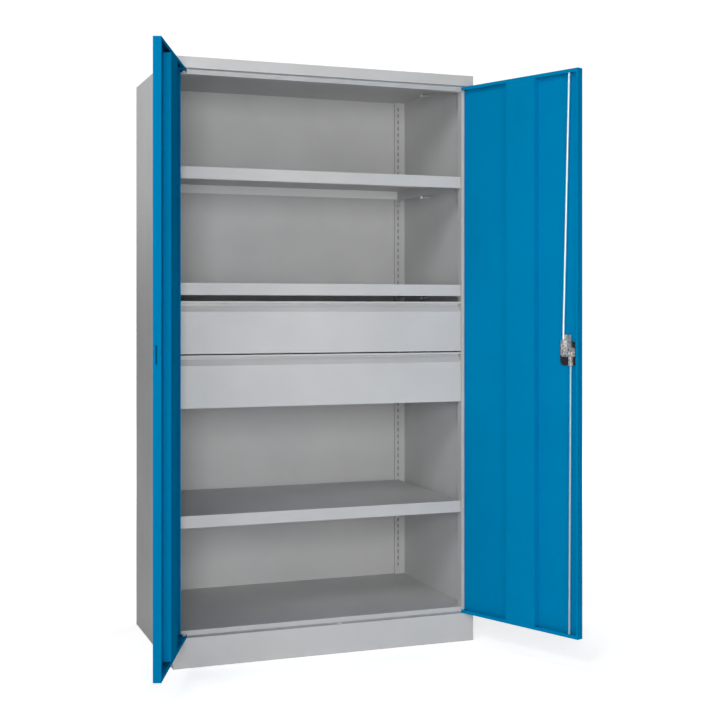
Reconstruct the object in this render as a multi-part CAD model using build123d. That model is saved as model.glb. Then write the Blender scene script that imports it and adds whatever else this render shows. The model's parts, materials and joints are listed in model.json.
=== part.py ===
from build123d import *
import math
import os

os.makedirs("parts", exist_ok=True)

# Heavy-duty storage cabinet: folded sheet-steel carcass, two hinged doors with
# a three-point lock, three shelves and two drawers on telescopic runners.
# Millimetres. X to the right, Y to the back, Z up. z = 0 is the floor and
# x = 0 the middle. y = 0 lies 30 mm behind the front of band, plinth and
# closed doors.

# ---------------------------------------------------------------- dimensions
WIDTH = 1050.0            # over the side sheets
HEIGHT = 1950.0
Y_FRONT = -30.0           # front of band, plinth and closed doors
Y_BACK = 602.0
SHEET = 1.5               # carcass sheet
THIN = 1.2                # door, drawer and rear sheet
XS = WIDTH / 2            # outer face of the side sheet
XI = XS - SHEET           # its inner face
YB = Y_BACK - THIN        # inner face of the rear sheet
YF = 1.5                  # frame plane that the doors close against
PLINTH_TOP = 96.5
BAND_BOTTOM = 1914.5
RAIL_BOTTOM = 1900.0
FLOOR_TOP = 112.0
CEILING = HEIGHT - SHEET

POST_FACE = 508.5         # inner end of the post's front face
POST_STOP = 495.5         # inner end of the post's stop flange
POST_BACK = 31.5
UPRIGHT_X = 484.0
UPRIGHT_Y = 590.0
SLOT_PITCH = 25.0

SHELF_TOPS = {"shelf_upper": 1604.0, "shelf_middle": 1229.0, "shelf_lower": 479.0}
SHELF_X = 493.5           # half width: the shelf passes between the posts
SHELF_LIP = 39.0          # front and side flanges
SHELF_REAR = 32.0         # rear flange
SHELF_FRONT = 5.0
SHELF_BACK = 588.5
STUD_X = 486.0            # inner end of the studs that carry the side flanges
STUD_Y = 344.0
STUD_R = 3.9
STUD_HEAD_R = 6.0

DOOR_LEN = 502.0          # hinge edge to closing edge
DOOR_EDGE = 503.0         # hinge edge from the middle of the cabinet
DOOR_T = 24.0
DOOR_Z0 = 98.0
DOOR_Z1 = 1909.0
HINGE_FLANGE = 4.5        # shallow flange, so that drawers pass the open door
TOP_LIP = 10.0
EDGE_LIP = 7.0
PIVOT_X = DOOR_EDGE - 5.5
PIVOT_Y = Y_FRONT + 6.5
PIVOT_R = 3.0
BUSH_RI = 3.05
BUSH_RO = 4.5
OPEN_RIGHT = 112.5        # opening angle of each door at rest, degrees
OPEN_LEFT = 110.8
STIFF_U0, STIFF_U1 = 203.0, 327.0

LOCK_U = 452.5            # handle axis from the hinge edge
LOCK_Z = 1004.0
CAM_N0, CAM_N1 = 8.5, 11.5   # depth of the cam plate behind the outer skin
TONGUE_R, TONGUE_HW = 59.0, 13.0
ROD_PIVOT = 15.5          # rod studs from the handle axis
ROD_U = 462.0             # rod guides from the hinge edge
ROD_R = 3.5
ROD_N = 15.5
ROD_TOP = 1907.5
ROD_BOTTOM = 99.5
SPINDLE_R = 5.0

DRAWER_Z = {"upper": 999.5, "lower": 824.5}
DRAWER_FRONT_H = 170.5
GRIP_Z = 136.5            # lower edge of the grip recess
DRAWER_X = 494.0          # half width of the front
DRAWER_Y = 4.5            # front face when closed
BOX_X = 474.0             # half width of the drawer box
BOX_BACK = 545.0
BOX_TOP = 163.0
RUNNER_Z = 27.0           # runner centre above the front's lower edge
RUNNER_Y0, RUNNER_Y1 = 22.0, 545.0


# ------------------------------------------------------------------- helpers
def bx(x0, x1, y0, y1, z0, z1):
    return Pos((x0 + x1) / 2, (y0 + y1) / 2, (z0 + z1) / 2) * Box(
        abs(x1 - x0), abs(y1 - y0), abs(z1 - z0))


def fuse(parts):
    out = parts[0]
    for p in parts[1:]:
        out = out + p
    return out


def cyl(x, y, z0, z1, r):
    return Pos(x, y, (z0 + z1) / 2) * Cylinder(r, z1 - z0)


def cyl_y(x, z, y0, y1, r):
    return Pos(x, (y0 + y1) / 2, z) * Rot(90, 0, 0) * Cylinder(r, y1 - y0)


def cyl_x(y, z, x0, x1, r):
    return Pos((x0 + x1) / 2, y, z) * Rot(0, 90, 0) * Cylinder(r, abs(x1 - x0))


def prism_x(points, x0, x1):
    face = make_face(Plane.YZ * Polyline(*points, close=True))
    return Pos(x0, 0, 0) * extrude(face, amount=x1 - x0, dir=(1, 0, 0))


def mir(s):
    return mirror(s, about=Plane.YZ)


def both(s):
    return [s, mir(s)]


def solids(items):
    out = []
    for i in items:
        out.extend(i.solids())
    return out


def save(name, items):
    if not isinstance(items, (list, tuple)):
        items = [items]
    group = solids(items)
    shape = group[0] if len(group) == 1 else Compound(group)
    export_step(shape, "parts/" + name + ".step")


# ------------------------------------------------------------------- carcass
side = bx(XI, XS, Y_FRONT, Y_BACK, 0, HEIGHT)
save("side_panel_right", side)
save("side_panel_left", mir(side))
save("rear_panel", bx(-XI, XI, YB, Y_BACK, 0, CEILING))

# Rod keepers and pivot holes in the band's lower flange and the plinth's upper one.
KEEPER_X = DOOR_EDGE - ROD_U
KEEPER_Y = Y_FRONT + ROD_N


def keeper_cut(z0, z1):
    cuts = [bx(KEEPER_X - 8, KEEPER_X + 8, KEEPER_Y - 6, KEEPER_Y + 6, z0 - 1, z1 + 1)]
    for s in (-1, 1):
        cuts.append(cyl(s * PIVOT_X, PIVOT_Y, z0 - 1, z1 + 1, PIVOT_R))
    return cuts


top = fuse([
    bx(-XI, XI, Y_FRONT, Y_BACK, CEILING, HEIGHT),
    bx(-XI, XI, Y_FRONT, Y_FRONT + SHEET, BAND_BOTTOM, CEILING),
    bx(-XI, XI, Y_FRONT + SHEET, YF + SHEET, BAND_BOTTOM, BAND_BOTTOM + SHEET),
])
for c in keeper_cut(BAND_BOTTOM, BAND_BOTTOM + SHEET):
    top = top - c
save("top_panel", top)

save("top_rail", fuse([
    bx(-POST_STOP, POST_STOP, YF, YF + SHEET, RAIL_BOTTOM, BAND_BOTTOM),
    bx(-POST_STOP, POST_STOP, YF + SHEET, POST_BACK, RAIL_BOTTOM, RAIL_BOTTOM + SHEET),
    bx(-POST_STOP, POST_STOP, POST_BACK - SHEET, POST_BACK, RAIL_BOTTOM + SHEET, CEILING),
]))

plinth = fuse([
    bx(-XI, XI, Y_FRONT, Y_FRONT + SHEET, 0, PLINTH_TOP),
    bx(-XI, XI, Y_FRONT + SHEET, YF + SHEET, PLINTH_TOP - SHEET, PLINTH_TOP),
    bx(-XI, XI, Y_FRONT + SHEET, 12, 0, SHEET),
])
for c in keeper_cut(PLINTH_TOP - SHEET, PLINTH_TOP):
    plinth = plinth - c
save("plinth", plinth)

save("floor_pan", fuse([
    bx(-POST_STOP, POST_STOP, YF, POST_BACK + 1, FLOOR_TOP - SHEET, FLOOR_TOP),
    bx(-POST_STOP, POST_STOP, YF, YF + SHEET, PLINTH_TOP, FLOOR_TOP - SHEET),
    bx(-XI, XI, POST_BACK + 1, YB, FLOOR_TOP - SHEET, FLOOR_TOP),
]))
save("floor_stiffener", fuse([
    bx(-XI, XI, 280, 340, FLOOR_TOP - SHEET - 25, FLOOR_TOP - SHEET - 25 + SHEET),
    bx(-XI, XI, 280, 280 + SHEET, FLOOR_TOP - SHEET - 25 + SHEET, FLOOR_TOP - SHEET),
    bx(-XI, XI, 340 - SHEET, 340, FLOOR_TOP - SHEET - 25 + SHEET, FLOOR_TOP - SHEET),
]))

# Front posts: front face, rebate for the door edge, stop flange, return into
# the cabinet, rear face and a welding flange on the side sheet.
post = fuse([
    bx(POST_FACE, XI, Y_FRONT, Y_FRONT + SHEET, PLINTH_TOP, BAND_BOTTOM),
    bx(POST_FACE, POST_FACE + SHEET, Y_FRONT + SHEET, YF, PLINTH_TOP, BAND_BOTTOM),
    bx(POST_STOP, POST_FACE + SHEET, YF, YF + SHEET, PLINTH_TOP, BAND_BOTTOM),
    bx(POST_STOP, POST_STOP + SHEET, YF + SHEET, POST_BACK - SHEET, PLINTH_TOP, BAND_BOTTOM),
    bx(POST_STOP, XI, POST_BACK - SHEET, POST_BACK, PLINTH_TOP, BAND_BOTTOM),
    bx(XI - SHEET, XI, POST_BACK - 16, POST_BACK - SHEET, PLINTH_TOP, BAND_BOTTOM),
])
save("front_post_right", post)
save("front_post_left", mir(post))

# Rear uprights with a ladder of slots.
upright = fuse([
    bx(UPRIGHT_X, XI, UPRIGHT_Y, UPRIGHT_Y + SHEET, FLOOR_TOP, CEILING),
    bx(UPRIGHT_X, UPRIGHT_X + SHEET, UPRIGHT_Y + SHEET, YB, FLOOR_TOP, CEILING),
])
slots = []
z = FLOOR_TOP + 30
while z < CEILING - 30:
    slots.append(bx(494, 499, UPRIGHT_Y - 1, UPRIGHT_Y + SHEET + 1, z, z + 13))
    z += SLOT_PITCH
upright = upright - Compound(slots)
save("rear_upright_right", upright)
save("rear_upright_left", mir(upright))


# ------------------------------------------------------------------- shelves
def shelf(zt):
    x, y0, y1 = SHELF_X, SHELF_FRONT, SHELF_BACK
    s = fuse([
        bx(-x, x, y0, y1, zt - SHEET, zt),
        bx(-x, x, y0, y0 + SHEET, zt - SHELF_LIP, zt - SHEET),
        bx(-x, x, y0 + SHEET, 20, zt - SHELF_LIP, zt - SHELF_LIP + SHEET),
        bx(-x + SHEET, x - SHEET, 20 - SHEET, 20, zt - SHELF_LIP + SHEET, zt - SHELF_LIP + 12),
        bx(-x, x, y1 - SHEET, y1, zt - SHELF_REAR, zt - SHEET),
    ])
    for sg in (-1, 1):
        s = s + bx(sg * (x - SHEET), sg * x, y0 + SHEET, y1 - SHEET,
                   zt - SHELF_LIP, zt - SHEET)
    return s


# Stud from the side sheet inwards, with a bright round head at its inner end.
def stud(sg, z):
    return fuse([
        cyl_x(STUD_Y, z, sg * (STUD_X + 5.5), sg * XI, STUD_R),
        cyl_x(STUD_Y, z, sg * STUD_X, sg * (STUD_X + 5.5), STUD_HEAD_R),
    ])


clips, studs, stiffs = [], [], []
for name, zt in SHELF_TOPS.items():
    save(name, shelf(zt))
    xs = SHELF_X - SHEET - 0.3
    stiffs.append(fuse([
        bx(-xs, xs, 290, 335, zt - 12, zt - 10.5),
        bx(-xs, xs, 290, 291.5, zt - 10.5, zt - SHEET),
        bx(-xs, xs, 333.5, 335, zt - 10.5, zt - SHEET),
    ]))
    zl = zt - SHELF_LIP
    for sg in (-1, 1):
        # front clip: an angle on the post's rear face, its leg under the side flange
        clips.append(fuse([
            bx(sg * 497, sg * 514, POST_BACK, POST_BACK + SHEET, zl - 22, zl - SHEET),
            bx(sg * 488, sg * 514, POST_BACK, 48, zl - SHEET, zl),
        ]))
        # rear clip: hooked into an upright slot, its leg under the side flange
        clips.append(fuse([
            bx(sg * 490, sg * 506, UPRIGHT_Y - SHEET, UPRIGHT_Y, zl - 22, zl - SHEET),
            bx(sg * 488, sg * 506, 572, UPRIGHT_Y, zl - SHEET, zl),
        ]))
        studs.append(stud(sg, zl - 0.3 - STUD_R))
for sg in (-1, 1):
    studs.append(stud(sg, 1940))
save("shelf_stiffeners", stiffs)
save("shelf_clips", clips)
save("shelf_studs", studs)

# ---------------------------------------------------------------- door pivots
pins = []
for sg in (-1, 1):
    x = sg * PIVOT_X
    pins.append(fuse([
        cyl(x, PIVOT_Y, 89, DOOR_Z0 + 9.5, PIVOT_R),
        cyl(x, PIVOT_Y, 89, PLINTH_TOP - SHEET, 4.8),
        cyl(x, PIVOT_Y, PLINTH_TOP, DOOR_Z0 - 0.3, 4.8),
    ]))
    pins.append(fuse([
        cyl(x, PIVOT_Y, DOOR_Z1 - 9.5, 1922, PIVOT_R),
        cyl(x, PIVOT_Y, BAND_BOTTOM + SHEET, 1922, 4.8),
    ]))
save("door_pivots", pins)


# --------------------------------------------------------------------- doors
# Modelled closed on the right-hand side: u from the hinge edge, n from the
# outer skin inwards. Then turned about the pivot to the opening at rest.
def du(u0, u1, n0, n1, z0, z1):
    return bx(DOOR_EDGE - u1, DOOR_EDGE - u0, Y_FRONT + n0, Y_FRONT + n1, z0, z1)


def dcyl(u, zc, n0, n1, r):
    return cyl_y(DOOR_EDGE - u, zc, Y_FRONT + n0, Y_FRONT + n1, r)


def open_right(s):
    return s.rotate(Axis((PIVOT_X, PIVOT_Y, 0), (0, 0, 1)), OPEN_RIGHT)


def open_left(s):
    return mir(s).rotate(Axis((-PIVOT_X, PIVOT_Y, 0), (0, 0, 1)), -OPEN_LEFT)


panel = fuse([
    du(0, DOOR_LEN, 0, THIN, DOOR_Z0, DOOR_Z1),
    du(0, THIN, THIN, HINGE_FLANGE, DOOR_Z0 + THIN, DOOR_Z1 - THIN),
])
frame = fuse([
    du(0, DOOR_LEN, THIN, DOOR_T, DOOR_Z1 - THIN, DOOR_Z1),
    du(0, DOOR_LEN, THIN, DOOR_T, DOOR_Z0, DOOR_Z0 + THIN),
    du(DOOR_LEN - THIN, DOOR_LEN, THIN, DOOR_T, DOOR_Z0 + THIN, DOOR_Z1 - THIN),
    du(4, DOOR_LEN - THIN, DOOR_T - THIN, DOOR_T, DOOR_Z1 - THIN - TOP_LIP, DOOR_Z1 - THIN),
    du(4, DOOR_LEN - THIN, DOOR_T - THIN, DOOR_T, DOOR_Z0 + THIN, DOOR_Z0 + THIN + TOP_LIP),
    du(DOOR_LEN - THIN - EDGE_LIP, DOOR_LEN - THIN, DOOR_T - THIN, DOOR_T,
       DOOR_Z0 + THIN + TOP_LIP, DOOR_Z1 - THIN - TOP_LIP),
])
PIV_U = DOOR_EDGE - PIVOT_X
PIV_N = PIVOT_Y - Y_FRONT


def at_pivot(z0, z1, r):
    return cyl(PIVOT_X, PIVOT_Y, z0, z1, r)


frame = frame - at_pivot(DOOR_Z0 - 1, DOOR_Z0 + 3, BUSH_RO)
frame = frame - at_pivot(DOOR_Z1 - 3, DOOR_Z1 + 1, BUSH_RO)
latch_slot = du(DOOR_LEN - 4, DOOR_LEN + 1, CAM_N0 - 1, CAM_N1 + 1,
                LOCK_Z - TONGUE_HW - 1.5, LOCK_Z + 38.5)
frame = frame - latch_slot

stiffener = fuse([
    du(STIFF_U0, STIFF_U1, DOOR_T - THIN, DOOR_T,
       DOOR_Z0 + THIN + TOP_LIP, DOOR_Z1 - THIN - TOP_LIP),
    du(STIFF_U0, STIFF_U0 + THIN, THIN, DOOR_T - THIN,
       DOOR_Z0 + THIN + TOP_LIP, DOOR_Z1 - THIN - TOP_LIP),
    du(STIFF_U1 - THIN, STIFF_U1, THIN, DOOR_T - THIN,
       DOOR_Z0 + THIN + TOP_LIP, DOOR_Z1 - THIN - TOP_LIP),
])
plates = [
    du(1.4, 46, 1.4, 22.4, DOOR_Z0 + THIN, DOOR_Z0 + THIN + 3) - at_pivot(DOOR_Z0, DOOR_Z0 + 6, BUSH_RO),
    du(1.4, 46, 1.4, 22.4, DOOR_Z1 - THIN - 3, DOOR_Z1 - THIN) - at_pivot(DOOR_Z1 - 6, DOOR_Z1, BUSH_RO),
]
bushes = [
    at_pivot(DOOR_Z0, DOOR_Z0 + 10, BUSH_RO) - at_pivot(DOOR_Z0 - 1, DOOR_Z0 + 11, BUSH_RI),
    at_pivot(DOOR_Z1 - 10, DOOR_Z1, BUSH_RO) - at_pivot(DOOR_Z1 - 11, DOOR_Z1 + 1, BUSH_RI),
]
# the hinge flange stops above and below the bushes' plates
panel = panel - du(-1, 1.3, THIN, HINGE_FLANGE + 1, DOOR_Z0, DOOR_Z0 + 5)
panel = panel - du(-1, 1.3, THIN, HINGE_FLANGE + 1, DOOR_Z1 - 5, DOOR_Z1)

save("door_panel_left", open_left(panel))
save("door_frame_left", open_left(frame))
save("door_stiffener_left", open_left(stiffener))
save("hinge_plates_left", [open_left(p) for p in plates])
save("pivot_bushes_left", [open_left(p) for p in bushes])

# Right door: the same, with the lock.
panel_r = panel - dcyl(LOCK_U, LOCK_Z, -1, 2, SPINDLE_R + 0.05)
rod_slot_top = du(ROD_U - 8.2, ROD_U + 4.8, ROD_N - 4.2, ROD_N + 4.2, DOOR_Z1 - 12, DOOR_Z1 + 1)
rod_slot_bot = du(ROD_U - 4.8, ROD_U + 8.2, ROD_N - 4.2, ROD_N + 4.2, DOOR_Z0 - 1, DOOR_Z0 + 12)
frame_r = frame - rod_slot_top - rod_slot_bot
guides = [
    du(ROD_U - 16, ROD_U + 14, 7, 22.4, DOOR_Z1 - THIN - 4, DOOR_Z1 - THIN) - rod_slot_top,
    du(ROD_U - 14, ROD_U + 16, 7, 22.4, DOOR_Z0 + THIN, DOOR_Z0 + THIN + 4) - rod_slot_bot,
]


def rounded_plate(u0, u1, z0, z1, n0, n1, r):
    plate = du(u0, u1, n0, n1, z0, z1)
    return fillet(plate.edges().filter_by(Axis.Y), r)


case = rounded_plate(LOCK_U - 34.5, LOCK_U + 29.5, LOCK_Z - 40, LOCK_Z + 37, THIN, 8.0, 15)
case = chamfer(case.faces().sort_by(Axis.Y)[-1].edges(), 2.0)
case = case - dcyl(LOCK_U, LOCK_Z, 0, 10, SPINDLE_R + 0.05)
hplate = rounded_plate(LOCK_U - 19, LOCK_U + 19, LOCK_Z - 55, LOCK_Z + 55, -6.0, 0.0, 12)
hplate = chamfer(hplate.faces().sort_by(Axis.Y)[0].edges(), 1.5)
hplate = hplate - dcyl(LOCK_U, LOCK_Z, -8, 1, SPINDLE_R + 0.05)

save("door_panel_right", open_right(panel_r))
save("door_frame_right", open_right(frame_r))
save("door_stiffener_right", open_right(stiffener))
save("hinge_plates_right", [open_right(p) for p in plates])
save("pivot_bushes_right", [open_right(p) for p in bushes])
save("rod_guides", [open_right(g) for g in guides])
save("lock_case", open_right(case))
save("handle_plate", open_right(hplate))

# Turn handle, spindle and cam plate, in the unlocked position: tongue up.
spindle = dcyl(LOCK_U, LOCK_Z, -12.0, CAM_N1, SPINDLE_R)
grip = rounded_plate(LOCK_U - 11, LOCK_U + 11, LOCK_Z - 37, LOCK_Z + 37, -32.0, -14.0, 10)
grip = fillet(grip.faces().sort_by(Axis.Y)[0].edges(), 3.0)
grip = grip + dcyl(LOCK_U, LOCK_Z, -14.5, -6.3, 15)
grip = grip - dcyl(LOCK_U, LOCK_Z, -34, -13.0, 8.05)
grip = grip - dcyl(LOCK_U, LOCK_Z, -12.0, -6, SPINDLE_R)
cyl_core = dcyl(LOCK_U, LOCK_Z, -32.6, -13.3, 8.0)
cyl_core = cyl_core - du(LOCK_U - 0.8, LOCK_U + 0.8, -34, -26, LOCK_Z - 4.2, LOCK_Z + 4.2)
cam = rounded_plate(LOCK_U - 27.5, LOCK_U + 27.5, LOCK_Z - 12, LOCK_Z + 18, CAM_N0, CAM_N1, 6)
cam = cam + du(LOCK_U - TONGUE_HW, LOCK_U + TONGUE_HW, CAM_N0, CAM_N1, LOCK_Z, LOCK_Z + TONGUE_R)
cam = cam - dcyl(LOCK_U, LOCK_Z, CAM_N0 - 1, CAM_N1 + 1, SPINDLE_R)
cam_studs = [dcyl(LOCK_U, LOCK_Z, CAM_N1, CAM_N1 + 3.2, 6.0)]
for sg in (-1, 1):
    u = LOCK_U + sg * ROD_PIVOT
    cam_studs.append(dcyl(u, LOCK_Z, CAM_N1, 19.0, 2.5) + dcyl(u, LOCK_Z, 18.8, 20.3, 4.5))
save("handle_spindle", open_right(spindle))
save("handle_grip", open_right(grip))
save("key_cylinder", open_right(cyl_core))
save("cam_plate", open_right(cam))
save("cam_studs", [open_right(s) for s in cam_studs])


# Locking rods: an eye on the cam stud and a round bar to the guide.
def rod(u_piv, u_end, z_end):
    dx = -(u_end - u_piv)
    dz = z_end - LOCK_Z
    length = math.hypot(dx, dz)
    x0, y0 = DOOR_EDGE - u_piv, Y_FRONT + ROD_N
    direction = Vector(dx / length, 0, dz / length)
    start = Vector(x0, y0, LOCK_Z) + direction * 7.0
    plane = Plane(origin=start, z_dir=direction)
    bar = extrude(plane * Circle(ROD_R), amount=length - 7.0)
    eye = dcyl(u_piv, LOCK_Z, 12.3, 18.4, 8.5)
    neck_dir = 1 if dz > 0 else -1
    neck = du(u_piv - 7, u_piv + 7, 12.3, 18.4,
              LOCK_Z + neck_dir * 4, LOCK_Z + neck_dir * 40)
    body = fuse([bar, eye, neck])
    return body - dcyl(u_piv, LOCK_Z, 10, 22, 2.55)


save("upper_rod", open_right(rod(LOCK_U - ROD_PIVOT, ROD_U, ROD_TOP)))
save("lower_rod", open_right(rod(LOCK_U + ROD_PIVOT, ROD_U, ROD_BOTTOM)))

# ------------------------------------------------------------------- drawers
supports = []
for key, z0 in DRAWER_Z.items():
    yf = DRAWER_Y
    # One folded sheet: face, slanted web, back of the grip, lip with a hem.
    front = fuse([
        bx(-DRAWER_X, DRAWER_X, yf, yf + THIN, z0, z0 + GRIP_Z),
        prism_x([(yf, z0 + GRIP_Z), (yf + THIN, z0 + GRIP_Z), (yf + 21.2, z0 + 155.5),
                 (yf + 21.2, z0 + 157), (yf + 20, z0 + 157)], -DRAWER_X, DRAWER_X),
        bx(-DRAWER_X, DRAWER_X, yf + 20, yf + 21.2, z0 + 157, z0 + DRAWER_FRONT_H),
        bx(-DRAWER_X, DRAWER_X, yf, yf + 20, z0 + DRAWER_FRONT_H - THIN, z0 + DRAWER_FRONT_H),
        bx(-DRAWER_X, DRAWER_X, yf, yf + THIN, z0 + DRAWER_FRONT_H - 6, z0 + DRAWER_FRONT_H - THIN),
        bx(-DRAWER_X, DRAWER_X, yf + THIN, 20, z0, z0 + THIN),
        bx(DRAWER_X - THIN, DRAWER_X, yf + THIN, 20, z0 + THIN, z0 + GRIP_Z - 2),
        bx(-DRAWER_X, -DRAWER_X + THIN, yf + THIN, 20, z0 + THIN, z0 + GRIP_Z - 2),
    ])
    save("drawer_front_" + key, front)

    wall = fuse([
        bx(BOX_X - THIN, BOX_X, 26, BOX_BACK, z0 + 8, z0 + BOX_TOP),
        bx(BOX_X - THIN, BOX_X, yf + THIN, 26, z0 + 8, z0 + GRIP_Z - 3),
    ])
    holes = []
    for i in range(33):
        y = 42 + 15 * i
        holes.append(bx(BOX_X - 3, BOX_X + 1, y, y + 5, z0 + 36, z0 + 56))
        holes.append(bx(BOX_X - 3, BOX_X + 1, y, y + 5, z0 + 113, z0 + 132))
    wall = wall - Compound(holes)
    save("drawer_side_right_" + key, wall)
    save("drawer_side_left_" + key, mir(wall))
    save("drawer_base_" + key,
         bx(-BOX_X + THIN, BOX_X - THIN, yf + THIN, BOX_BACK, z0 + 10, z0 + 10 + THIN))
    save("drawer_back_" + key,
         bx(-BOX_X + THIN, BOX_X - THIN, BOX_BACK - THIN, BOX_BACK, z0 + 10 + THIN, z0 + BOX_TOP))

    zr = z0 + RUNNER_Z
    cab, mid, drw = [], [], []
    for sg in (-1, 1):
        cab.append(fuse([
            bx(sg * 487.8, sg * 489, RUNNER_Y0, RUNNER_Y1, zr - 20.4, zr + 20.4),
            bx(sg * 480, sg * 487.8, RUNNER_Y0, RUNNER_Y1, zr + 19.2, zr + 20.4),
            bx(sg * 480, sg * 487.8, RUNNER_Y0, RUNNER_Y1, zr - 20.4, zr - 19.2),
        ]))
        mid.append(fuse([
            bx(sg * 484, sg * 485.2, RUNNER_Y0, RUNNER_Y1, zr - 16.8, zr + 16.8),
            bx(sg * 477, sg * 484, RUNNER_Y0, RUNNER_Y1, zr + 15.6, zr + 16.8),
            bx(sg * 477, sg * 484, RUNNER_Y0, RUNNER_Y1, zr - 16.8, zr - 15.6),
        ]))
        drw.append(fuse([
            bx(sg * 474, sg * 475.2, RUNNER_Y0, RUNNER_Y1, zr - 13.2, zr + 13.2),
            bx(sg * 475.2, sg * 481, RUNNER_Y0, RUNNER_Y1, zr + 12, zr + 13.2),
            bx(sg * 475.2, sg * 481, RUNNER_Y0, RUNNER_Y1, zr - 13.2, zr - 12),
        ]))
        supports.append(fuse([
            bx(sg * 489, sg * 490.5, POST_BACK, UPRIGHT_Y, z0 + 2, z0 + 52),
            bx(sg * 490.5, sg * 508, POST_BACK, POST_BACK + SHEET, z0 + 2, z0 + 52),
            bx(sg * 490.5, sg * 508, UPRIGHT_Y - SHEET, UPRIGHT_Y, z0 + 2, z0 + 52),
            bx(sg * 490.5, sg * 500, POST_BACK + SHEET, UPRIGHT_Y - SHEET, z0 + 50.5, z0 + 52),
            bx(sg * 490.5, sg * 500, POST_BACK + SHEET, UPRIGHT_Y - SHEET, z0 + 2, z0 + 3.5),
        ]))
    save("runner_cabinet_" + key, cab)
    save("runner_middle_" + key, mid)
    save("runner_drawer_" + key, drw)
save("drawer_supports", supports)
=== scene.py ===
import bpy
import bmesh
import json
import math
from mathutils import Vector, Matrix

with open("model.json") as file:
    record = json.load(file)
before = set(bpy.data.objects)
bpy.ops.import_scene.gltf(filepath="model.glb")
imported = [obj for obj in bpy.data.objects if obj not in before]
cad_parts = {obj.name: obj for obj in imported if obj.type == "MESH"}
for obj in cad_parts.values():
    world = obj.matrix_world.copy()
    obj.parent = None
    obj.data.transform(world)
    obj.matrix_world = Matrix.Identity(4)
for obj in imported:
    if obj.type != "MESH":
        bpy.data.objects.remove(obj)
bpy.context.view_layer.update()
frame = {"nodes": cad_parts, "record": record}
NODES = frame["nodes"]
scene = bpy.context.scene


# ------------------------------------------------------------------ materials
def new_material(name):
    m = bpy.data.materials.new(name)
    m.use_nodes = True
    nt = m.node_tree
    nt.nodes.clear()
    out = nt.nodes.new("ShaderNodeOutputMaterial")
    bsdf = nt.nodes.new("ShaderNodeBsdfPrincipled")
    nt.links.new(bsdf.outputs["BSDF"], out.inputs["Surface"])
    tc = nt.nodes.new("ShaderNodeTexCoord")
    return m, nt, bsdf, tc.outputs["Object"]


def noise(nt, vec, scale, detail=2.0, rough=0.5, stretch=None):
    if stretch:
        mp = nt.nodes.new("ShaderNodeMapping")
        mp.inputs["Scale"].default_value = stretch
        nt.links.new(vec, mp.inputs["Vector"])
        vec = mp.outputs["Vector"]
    n = nt.nodes.new("ShaderNodeTexNoise")
    n.inputs["Scale"].default_value = scale
    n.inputs["Detail"].default_value = detail
    n.inputs["Roughness"].default_value = rough
    nt.links.new(vec, n.inputs["Vector"])
    return n.outputs["Fac"]


def ramp(nt, fac, lo, hi, c0, c1):
    r = nt.nodes.new("ShaderNodeValToRGB")
    r.color_ramp.elements[0].position = lo
    r.color_ramp.elements[0].color = c0
    r.color_ramp.elements[1].position = hi
    r.color_ramp.elements[1].color = c1
    nt.links.new(fac, r.inputs["Fac"])
    return r.outputs["Color"]


def remap(nt, fac, lo, hi, a, b):
    r = nt.nodes.new("ShaderNodeMapRange")
    r.inputs["From Min"].default_value = lo
    r.inputs["From Max"].default_value = hi
    r.inputs["To Min"].default_value = a
    r.inputs["To Max"].default_value = b
    nt.links.new(fac, r.inputs["Value"])
    return r.outputs["Result"]


def mix(nt, fac, a, b, kind="MIX"):
    m = nt.nodes.new("ShaderNodeMix")
    m.data_type = "RGBA"
    m.blend_type = kind
    if isinstance(fac, (int, float)):
        m.inputs["Factor"].default_value = fac
    else:
        nt.links.new(fac, m.inputs["Factor"])
    for sock, v in ((m.inputs["A"], a), (m.inputs["B"], b)):
        if isinstance(v, tuple):
            sock.default_value = v
        else:
            nt.links.new(v, sock)
    return m.outputs["Result"]


def bump(nt, height, strength, distance, bsdf, normal=None):
    b = nt.nodes.new("ShaderNodeBump")
    b.inputs["Strength"].default_value = strength
    b.inputs["Distance"].default_value = distance
    nt.links.new(height, b.inputs["Height"])
    if normal is not None:
        nt.links.new(normal, b.inputs["Normal"])
    nt.links.new(b.outputs["Normal"], bsdf.inputs["Normal"])
    return b.outputs["Normal"]


def rgba(r, g, b, k=1.0):
    return (r * k, g * k, b * k, 1.0)


def band_mask(nt, vec, axis, centre, half, soft):
    """1 within half of centre along one axis of the part, fading out over soft (metres)."""
    sp = nt.nodes.new("ShaderNodeSeparateXYZ")
    nt.links.new(vec, sp.inputs[0])
    off = nt.nodes.new("ShaderNodeMath")
    off.operation = "SUBTRACT"
    nt.links.new(sp.outputs[axis], off.inputs[0])
    off.inputs[1].default_value = centre
    ab = nt.nodes.new("ShaderNodeMath")
    ab.operation = "ABSOLUTE"
    nt.links.new(off.outputs[0], ab.inputs[0])
    return remap(nt, ab.outputs[0], half, half + soft, 1.0, 0.0)


def facing(nt, direction):
    """1 on the part's own faces that point in a direction of the part's frame."""
    tc = nt.nodes.new("ShaderNodeTexCoord")
    d = nt.nodes.new("ShaderNodeVectorMath")
    d.operation = "DOT_PRODUCT"
    nt.links.new(tc.outputs["Normal"], d.inputs[0])
    d.inputs[1].default_value = direction
    return remap(nt, d.outputs["Value"], 0.97, 0.99, 0.0, 1.0)


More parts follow.
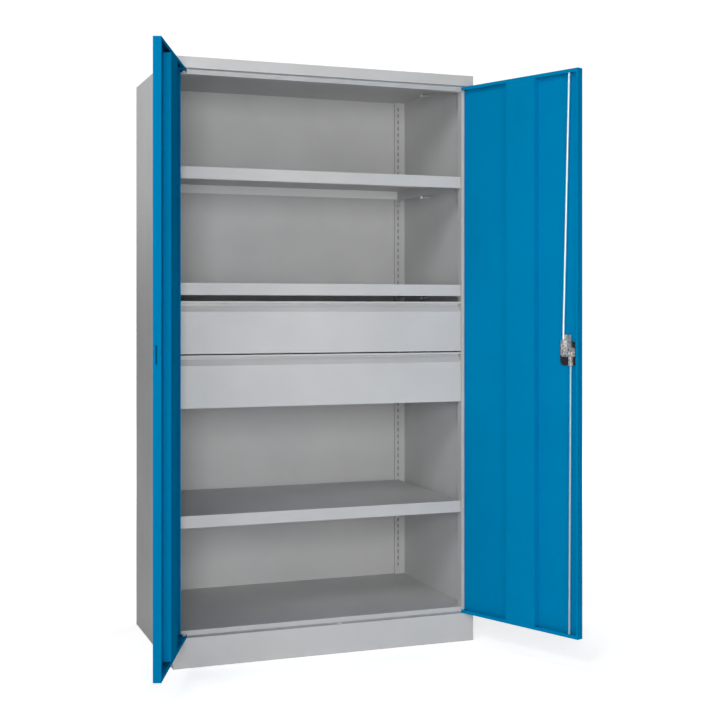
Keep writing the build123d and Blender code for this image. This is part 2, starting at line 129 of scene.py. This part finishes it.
def powder_coat(name, col, rough=0.45, spread=0.05, grain=0.06, spec=0.25, faces=()):
    """Baked powder paint: orange peel about 1.5 mm across, fine grain, slow tone drift.

    Each entry of faces is a direction, the tone of painted light or shade on the faces
    that point there, and a stretch along one axis that limits it."""
    m, nt, bsdf, vec = new_material(name)
    slow = noise(nt, vec, 3.2, 3.0, 0.55)
    fine = noise(nt, vec, 1400.0, 1.0, 0.5)
    base = ramp(nt, slow, 0.3, 0.7, rgba(*col, 1 - spread), rgba(*col, 1 + spread))
    speck = ramp(nt, fine, 0.35, 0.65, rgba(1, 1, 1, 1 - grain), rgba(1, 1, 1, 1.0))
    paint = mix(nt, 1.0, base, speck, "MULTIPLY")
    for direction, tone, band in faces:
        part = facing(nt, direction)
        if band:
            both = nt.nodes.new("ShaderNodeMath")
            both.operation = "MULTIPLY"
            nt.links.new(part, both.inputs[0])
            nt.links.new(band_mask(nt, vec, *band), both.inputs[1])
            part = both.outputs[0]
        # painted light or shade: faces that point in the given direction take the given tone
        paint = mix(nt, part, paint, rgba(*tone))
    nt.links.new(paint, bsdf.inputs["Base Color"])
    peel = noise(nt, vec, 620.0, 2.0, 0.45)
    nt.links.new(remap(nt, peel, 0.3, 0.7, rough - 0.05, rough + 0.06), bsdf.inputs["Roughness"])
    bump(nt, peel, 0.12, 0.0004, bsdf)
    bsdf.inputs["Specular IOR Level"].default_value = spec
    return m


def zinc(name, col, rough=0.3, metal=1.0, scale=160.0, spread=0.10, grain=0.06):
    """Zinc-plated steel: cloudy plating, fine drawing lines along the part."""
    m, nt, bsdf, vec = new_material(name)
    cloud = noise(nt, vec, scale, 3.0, 0.6)
    base = ramp(nt, cloud, 0.3, 0.7, rgba(*col, 1 - spread), rgba(*col, 1.0))
    nt.links.new(base, bsdf.inputs["Base Color"])
    nt.links.new(remap(nt, cloud, 0.3, 0.7, rough - 0.07, rough + 0.09), bsdf.inputs["Roughness"])
    bsdf.inputs["Metallic"].default_value = metal
    line = noise(nt, vec, 700.0, 2.0, 0.5, (1.0, 1.0, 0.03))
    bump(nt, line, grain, 0.0001, bsdf)
    return m


def rod_look(name, col, rough=0.38, metal=0.35):
    """Bright zinc bar; the flattened eye and neck at the lock are duller and mottled."""
    m, nt, bsdf, vec = new_material(name)
    near = band_mask(nt, vec, "Z", 1.004, 0.043, 0.004)
    cloud = noise(nt, vec, 120.0, 3.0, 0.6)
    spots = noise(nt, vec, 170.0, 2.0, 0.55)
    bar = ramp(nt, cloud, 0.3, 0.7, rgba(*col, 0.95), rgba(*col, 1.0))
    eye = ramp(nt, spots, 0.38, 0.62, rgba(0.20, 0.20, 0.20), rgba(0.85, 0.84, 0.82))
    nt.links.new(mix(nt, near, bar, eye), bsdf.inputs["Base Color"])
    nt.links.new(remap(nt, spots, 0.3, 0.7, rough - 0.08, rough + 0.08), bsdf.inputs["Roughness"])
    bsdf.inputs["Metallic"].default_value = metal
    line = noise(nt, vec, 700.0, 2.0, 0.5, (1.0, 1.0, 0.03))
    bump(nt, line, 0.03, 0.0001, bsdf)
    return m


def stud_look(name):
    """Grey shank, bright domed head at the inner end."""
    m, nt, bsdf, vec = new_material(name)
    head = band_mask(nt, vec, "X", 0.0, 0.4914, 0.0002)
    cloud = noise(nt, vec, 200.0, 2.0, 0.5)
    shank = ramp(nt, cloud, 0.3, 0.7, rgba(0.48, 0.48, 0.48), rgba(0.54, 0.54, 0.54))
    bright = ramp(nt, cloud, 0.3, 0.7, rgba(0.95, 0.95, 0.95), rgba(1.0, 1.0, 1.0))
    nt.links.new(mix(nt, head, shank, bright), bsdf.inputs["Base Color"])
    nt.links.new(remap(nt, cloud, 0.3, 0.7, 0.18, 0.30), bsdf.inputs["Roughness"])
    bsdf.inputs["Metallic"].default_value = 0.15
    bump(nt, cloud, 0.05, 0.0001, bsdf)
    return m


def rear_sheet_slot_shade_look(name, col):
    """Powder coat with painted shade: dark grey on the inner face behind the uprights, so the slots read dark."""
    m, nt, bsdf, vec = new_material(name)
    slow = noise(nt, vec, 3.2, 3.0, 0.55)
    fine = noise(nt, vec, 1400.0, 1.0, 0.5)
    base = ramp(nt, slow, 0.3, 0.7, rgba(*col, 0.95), rgba(*col, 1.05))
    speck = ramp(nt, fine, 0.35, 0.65, rgba(1, 1, 1, 0.94), rgba(1, 1, 1, 1.0))
    paint = mix(nt, 1.0, base, speck, "MULTIPLY")
    middle = band_mask(nt, vec, "X", 0.0, 0.4862, 0.0004)
    inner = band_mask(nt, vec, "Y", 0.0, 0.6011, 0.0002)
    slot_shade_mask = nt.nodes.new("ShaderNodeMath")
    slot_shade_mask.operation = "SUBTRACT"
    slot_shade_mask.use_clamp = True
    nt.links.new(inner, slot_shade_mask.inputs[0])
    nt.links.new(middle, slot_shade_mask.inputs[1])
    # painted shade: the inner face behind the uprights is dark grey, standing in for the shade seen through the
    # slots
    nt.links.new(mix(nt, slot_shade_mask.outputs[0], paint, rgba(0.27, 0.27, 0.27)), bsdf.inputs["Base Color"])
    peel = noise(nt, vec, 620.0, 2.0, 0.45)
    nt.links.new(remap(nt, peel, 0.3, 0.7, 0.40, 0.51), bsdf.inputs["Roughness"])
    bump(nt, peel, 0.12, 0.0004, bsdf)
    bsdf.inputs["Specular IOR Level"].default_value = 0.2
    return m


def plastic(name, col, rough=0.45):
    m, nt, bsdf, vec = new_material(name)
    grain = noise(nt, vec, 1500.0, 2.0, 0.6)
    slow = noise(nt, vec, 60.0, 2.0, 0.5)
    base = ramp(nt, slow, 0.3, 0.7, rgba(*col, 0.85), rgba(*col, 1.2))
    nt.links.new(base, bsdf.inputs["Base Color"])
    nt.links.new(remap(nt, grain, 0.3, 0.7, rough - 0.08, rough + 0.08), bsdf.inputs["Roughness"])
    bump(nt, grain, 0.25, 0.0002, bsdf)
    return m


MATS = {
    "carcass_paint": powder_coat("carcass_paint_look", (0.60, 0.60, 0.60), spec=0.2),
    "drawer_paint": powder_coat("drawer_paint_look", (0.60, 0.60, 0.60), spec=0.2),
    "shelf_zinc": powder_coat("shelf_zinc_look", (0.585, 0.585, 0.585), spec=0.3),
    "door_paint": powder_coat("door_paint_look", (0.0, 0.243, 0.504), rough=0.5, spread=0.03, grain=0.05, spec=0.0),
    "runner_steel": zinc("runner_steel_look", (0.60, 0.60, 0.60), metal=0.8),
    "rod_zinc": rod_look("rod_zinc_look", (0.80, 0.94, 1.0)),
    "cam_zinc": zinc("cam_zinc_look", (0.80, 0.79, 0.77), rough=0.30, metal=0.6, spread=0.62, grain=0.15),
    "lock_black": plastic("lock_black_look", (0.018, 0.018, 0.019)),
    "guide_black": plastic("guide_black_look", (0.018, 0.018, 0.019)),
    "stud_steel": stud_look("stud_steel_look"),
    "pivot_steel": zinc("pivot_steel_look", (0.6, 0.6, 0.6), metal=0.8),
    "cylinder_chrome": zinc("cylinder_chrome_look", (0.85, 0.85, 0.86), rough=0.12),
}
# Lower rod: the same zinc bar, rougher, with a darker base colour that is painted shade.
ROD_MATTE_PAINTED_SHADE = rod_look("rod_zinc_matte_painted_shade_look", (0.42, 0.60, 0.68), rough=0.45)
REAR_SLOT_SHADE = rear_sheet_slot_shade_look("rear_sheet_slot_shade_look", (0.60, 0.60, 0.60))
# Shelves: the rear flange's face towards -Y is painted lighter, a painted highlight where it lies in the front
# lip's shadow.
SHELF_PAINTED_LIGHT = powder_coat("shelf_painted_light_look", (0.585, 0.585, 0.585), spec=0.3,
                    faces=[((0.0, -1.0, 0.0), (0.84, 0.84, 0.84), ("Y", 0.588, 0.0015, 0.0005))])
# Left door frame: the closing-edge flange face and the underside of the top flange near z 1.91 m are painted darker
# blue, painted shade.
LEFT_EDGE_PAINTED_SHADE = powder_coat("door_edge_painted_shade_look", (0.0, 0.243, 0.504), rough=0.5, spread=0.03, grain=0.05, spec=0.0,
                        faces=[((-0.3551, -0.9348, 0.0), (0.0, 0.172, 0.370), None),
                               ((0.0, 0.0, -1.0), (0.0, 0.085, 0.175), ("Z", 1.91, 0.03, 0.002))])
LOOK = {"lower_rod": ROD_MATTE_PAINTED_SHADE, "rear_panel": REAR_SLOT_SHADE, "shelf_upper": SHELF_PAINTED_LIGHT, "shelf_middle": SHELF_PAINTED_LIGHT,
        "shelf_lower": SHELF_PAINTED_LIGHT, "door_frame_left": LEFT_EDGE_PAINTED_SHADE}
SLOT = {s["node"]: s["material_slot"] for s in frame["record"]["subparts"]}
for name, obj in NODES.items():
    o = bpy.data.objects[obj] if isinstance(obj, str) else obj
    mat = LOOK.get(name, MATS[SLOT[name]])
    if not o.material_slots:
        o.data.materials.append(mat)
    for s in o.material_slots:
        s.material = mat

# ---------------------------------------------------------------- floor, light
me = bpy.data.meshes.new("floor")
bm = bmesh.new()
bmesh.ops.create_grid(bm, x_segments=2, y_segments=2, size=60.0)
bm.to_mesh(me)
bm.free()
floor = bpy.data.objects.new("floor", me)
scene.collection.objects.link(floor)
floor.location = (0, 0, -0.0005)
fm, fnt, fb, fv = new_material("floor_look")
fn = noise(fnt, fv, 1.5, 2.0)
fnt.links.new(ramp(fnt, fn, 0.2, 0.8, rgba(0.90, 0.90, 0.90), rgba(0.92, 0.92, 0.92)), fb.inputs["Base Color"])
fb.inputs["Roughness"].default_value = 0.9
fb.inputs["Emission Color"].default_value = (1, 1, 1, 1)
sep = fnt.nodes.new("ShaderNodeVectorMath")
sep.operation = "LENGTH"
fnt.links.new(fv, sep.inputs[0])
lpf = fnt.nodes.new("ShaderNodeLightPath")
seen = fnt.nodes.new("ShaderNodeMath")
seen.operation = "MULTIPLY_ADD"
fnt.links.new(remap(fnt, sep.outputs["Value"], 1.2, 4.0, 0.62, 1.12), seen.inputs[0])
fnt.links.new(lpf.outputs["Is Camera Ray"], seen.inputs[1])
seen.inputs[2].default_value = 0.0
fnt.links.new(seen.outputs[0], fb.inputs["Emission Strength"])
me.materials.append(fm)

world = bpy.data.worlds.new("studio")
scene.world = world
world.use_nodes = True
wn = world.node_tree
wn.nodes.clear()
wo = wn.nodes.new("ShaderNodeOutputWorld")
bg_seen = wn.nodes.new("ShaderNodeBackground")
bg_light = wn.nodes.new("ShaderNodeBackground")
lp = wn.nodes.new("ShaderNodeLightPath")
ms = wn.nodes.new("ShaderNodeMixShader")
bg_seen.inputs["Color"].default_value = (1, 1, 1, 1)
bg_seen.inputs["Strength"].default_value = 1.05
bg_light.inputs["Color"].default_value = (1, 1, 1, 1)
bg_light.inputs["Strength"].default_value = 0.005
wn.links.new(lp.outputs["Is Camera Ray"], ms.inputs["Fac"])
wn.links.new(bg_light.outputs[0], ms.inputs[1])
wn.links.new(bg_seen.outputs[0], ms.inputs[2])
wn.links.new(ms.outputs[0], wo.inputs["Surface"])


def area(name, loc, target, size, power, size_y=None, spread=180.0):
    ld = bpy.data.lights.new(name, "AREA")
    ld.energy = power
    ld.size = size
    ld.spread = math.radians(spread)
    if size_y:
        ld.shape = "RECTANGLE"
        ld.size_y = size_y
    ob = bpy.data.objects.new(name, ld)
    scene.collection.objects.link(ob)
    ob.location = loc
    d = Vector(target) - Vector(loc)
    ob.rotation_euler = d.to_track_quat("-Z", "Y").to_euler()
    return ob


area("front", (-1.6, -4.6, 1.6), (0, 0, 1.0), 1.2, 93, 1.2)
area("low", (-1.8, -5.0, 0.55), (0, 0, 1.2), 1.2, 25, 0.8)
area("wide", (0.0, -7.0, 1.1), (0, 0, 1.0), 3.0, 33, 1.5)
area("left_top", (-2.5, -3.0, 3.6), (0.2, 0, 1.0), 1.5, 57, 1.5)
area("high", (-1.2, -6.5, 4.5), (0, 0, 1.0), 3.0, 20, 2.0)
area("above", (0.0, 0.5, 4.8), (0.0, 0.3, 1.95), 0.8, 5, 0.8, 50.0)
area("back_left", (-3.5, 7.0, 3.2), (0, 0.6, 1.0), 3.0, 105, 3.0)
area("back_right", (6.5, 3.5, 3.0), (0.5, 0.3, 1.0), 3.0, 120, 3.0)

# ---------------------------------------------------------------------- camera
cam_data = bpy.data.cameras.new("camera")
cam = bpy.data.objects.new("camera", cam_data)
scene.collection.objects.link(cam)
cam_data.sensor_width = 36.0
cam_data.lens = 1278.67 * 36.0 / 720.0
cam_data.shift_x = 0.0
cam_data.shift_y = -(360.0 - 309.15) / 720.0
cam_data.dof.use_dof = False
cam_data.clip_end = 200.0
cam.location = (-1.3815, -4.0391, 1.1444)
cam.rotation_euler = (math.radians(90.0), 0.0, math.radians(-20.376))
scene.camera = cam
scene.view_settings.view_transform = "Standard"
scene.view_settings.look = "None"
